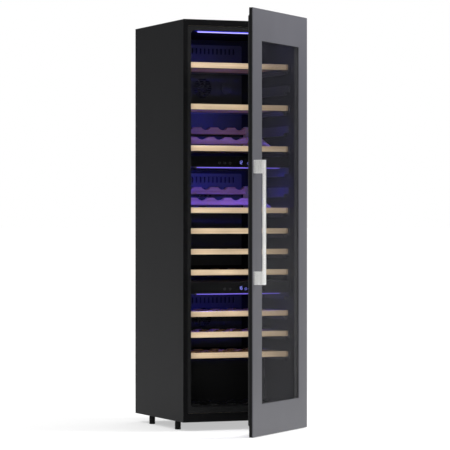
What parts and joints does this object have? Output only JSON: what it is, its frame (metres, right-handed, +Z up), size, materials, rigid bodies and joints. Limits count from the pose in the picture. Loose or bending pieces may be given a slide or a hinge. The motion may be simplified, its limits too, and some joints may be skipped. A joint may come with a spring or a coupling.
{
  "type": "wine cooler",
  "caption": "Tall built-in wine cooler with a double-glazed overlay door, pull-out beech shelves, lit zones and a fan-cooled machine compartment.",
  "frame": {"origin": "on the floor, midway between the four levelling feet", "axes": "+X to the right as seen from the front, +Y from the door to the back, +Z up"},
  "size_m": [0.5748, 1.053, 1.793],
  "materials": {
    "casing_paint": "satin, fine orange-peel powder coat",
    "dark_steel": "satin",
    "zinc_steel": "zinc plated, semi-matte",
    "frame_black": "satin",
    "foam": "matte",
    "liner_black": "fine satin",
    "runner_black": "satin",
    "divider_black": "satin",
    "panel_gloss": "gloss",
    "led_lens": "frosted, lit",
    "duct_black": "satin",
    "motor_grey": "satin",
    "fan_black": "satin",
    "filter_black": "matte",
    "evaporator_aluminium": "mill finish",
    "compressor_paint": "gloss enamel",
    "condenser_paint": "satin",
    "tray_plastic": "matte",
    "box_plastic": "matte",
    "foot_plastic": "satin",
    "screw_steel": "bright zinc",
    "door_steel": "fine satin, graphite grey",
    "tinted_glass": "smoke tinted",
    "clear_glass": "clear",
    "spacer_black": "matte",
    "profile_black": "satin",
    "gasket_rubber": "matte",
    "handle_steel": "brushed satin",
    "beech": "oiled, fine straight grain",
    "shelf_steel": "satin black"
  },
  "bodies": {
    "cabinet": {"outer_casing": "casing_paint", "base_pan": "dark_steel", "rear_panel": "dark_steel", "rear_grille": "dark_steel", "front_bezel": "frame_black", "foam_insulation": "foam", "inner_liner": "liner_black", "shelf_supports": "runner_black", "upper_divider": "divider_black", "lower_divider": "divider_black", "upper_control_panel": "panel_gloss", "lower_control_panel": "panel_gloss", "led_bars": "led_lens", "upper_air_duct": "duct_black", "middle_air_duct": "duct_black", "lower_air_duct": "duct_black", "fan_motors": "motor_grey", "charcoal_filters": "filter_black", "evaporators": "evaporator_aluminium", "compressor": "compressor_paint", "condenser": "condenser_paint", "drip_tray": "tray_plastic", "terminal_box": "box_plastic", "levelling_feet": "foot_plastic", "hinge_brackets": "zinc_steel", "hinge_pins": "screw_steel", "hinge_screws": "screw_steel"},
    "door": {"door_frame": "door_steel", "outer_glass": "tinted_glass", "glass_spacer": "spacer_black", "inner_glass": "clear_glass", "inner_frame": "profile_black", "door_gasket": "gasket_rubber", "handle_bar": "handle_steel", "handle_posts": "handle_steel", "handle_screws": "screw_steel"},
    "pull_out_shelf_1": {"shelf_1": "beech", "shelf_frame_1": "shelf_steel"},
    "pull_out_shelf_2": {"shelf_2": "beech", "shelf_frame_2": "shelf_steel"},
    "pull_out_shelf_3": {"display_shelf_3": "beech", "shelf_frame_3": "shelf_steel"},
    "pull_out_shelf_4": {"display_shelf_4": "beech", "shelf_frame_4": "shelf_steel"},
    "pull_out_shelf_5": {"shelf_5": "beech", "shelf_frame_5": "shelf_steel"},
    "pull_out_shelf_6": {"shelf_6": "beech", "shelf_frame_6": "shelf_steel"},
    "pull_out_shelf_7": {"shelf_7": "beech", "shelf_frame_7": "shelf_steel"},
    "pull_out_shelf_8": {"shelf_8": "beech", "shelf_frame_8": "shelf_steel"},
    "pull_out_shelf_9": {"shelf_9": "beech", "shelf_frame_9": "shelf_steel"},
    "pull_out_shelf_10": {"shelf_10": "beech", "shelf_frame_10": "shelf_steel"},
    "upper_fan_rotor": {"upper_fan": "fan_black"},
    "middle_fan_rotor": {"middle_fan": "fan_black"},
    "lower_fan_rotor": {"lower_fan": "fan_black"},
    "condenser_fan_rotor": {"condenser_fan": "fan_black"}
  },
  "joints": [
    {"name": "door_hinge", "type": "hinge", "parent": "cabinet", "child": "door", "pos_m": [0.2725, -0.302, 0.9], "axis": [0, 0, 1], "range_deg": [-43.6, 66.4]},
    {"name": "shelf_1_slide", "type": "slide", "parent": "cabinet", "child": "pull_out_shelf_1", "axis": [0, -1, 0], "range_m": [0, 0.07]},
    {"name": "shelf_2_slide", "type": "slide", "parent": "cabinet", "child": "pull_out_shelf_2", "axis": [0, -1, 0], "range_m": [0, 0.07]},
    {"name": "shelf_3_slide", "type": "slide", "parent": "cabinet", "child": "pull_out_shelf_3", "axis": [0, -1, 0], "range_m": [0, 0.07]},
    {"name": "shelf_4_slide", "type": "slide", "parent": "cabinet", "child": "pull_out_shelf_4", "axis": [0, -1, 0], "range_m": [0, 0.07]},
    {"name": "shelf_5_slide", "type": "slide", "parent": "cabinet", "child": "pull_out_shelf_5", "axis": [0, -1, 0], "range_m": [0, 0.07]},
    {"name": "shelf_6_slide", "type": "slide", "parent": "cabinet", "child": "pull_out_shelf_6", "axis": [0, -1, 0], "range_m": [0, 0.07]},
    {"name": "shelf_7_slide", "type": "slide", "parent": "cabinet", "child": "pull_out_shelf_7", "axis": [0, -1, 0], "range_m": [0, 0.07]},
    {"name": "shelf_8_slide", "type": "slide", "parent": "cabinet", "child": "pull_out_shelf_8", "axis": [0, -1, 0], "range_m": [0, 0.07]},
    {"name": "shelf_9_slide", "type": "slide", "parent": "cabinet", "child": "pull_out_shelf_9", "axis": [0, -1, 0], "range_m": [0, 0.07]},
    {"name": "shelf_10_slide", "type": "slide", "parent": "cabinet", "child": "pull_out_shelf_10", "axis": [0, -1, 0], "range_m": [0, 0.07]},
    {"name": "upper_fan_spin", "type": "hinge", "parent": "cabinet", "child": "upper_fan_rotor", "pos_m": [0, 0.206, 1.505], "axis": [0, 1, 0], "continuous": true},
    {"name": "middle_fan_spin", "type": "hinge", "parent": "cabinet", "child": "middle_fan_rotor", "pos_m": [0, 0.206, 1.01], "axis": [0, 1, 0], "continuous": true},
    {"name": "lower_fan_spin", "type": "hinge", "parent": "cabinet", "child": "lower_fan_rotor", "pos_m": [0, 0.206, 0.47], "axis": [0, 1, 0], "continuous": true},
    {"name": "condenser_fan_spin", "type": "hinge", "parent": "cabinet", "child": "condenser_fan_rotor", "pos_m": [-0.025, 0.191, 0.153], "axis": [1, 0, 0], "continuous": true}
  ]
}
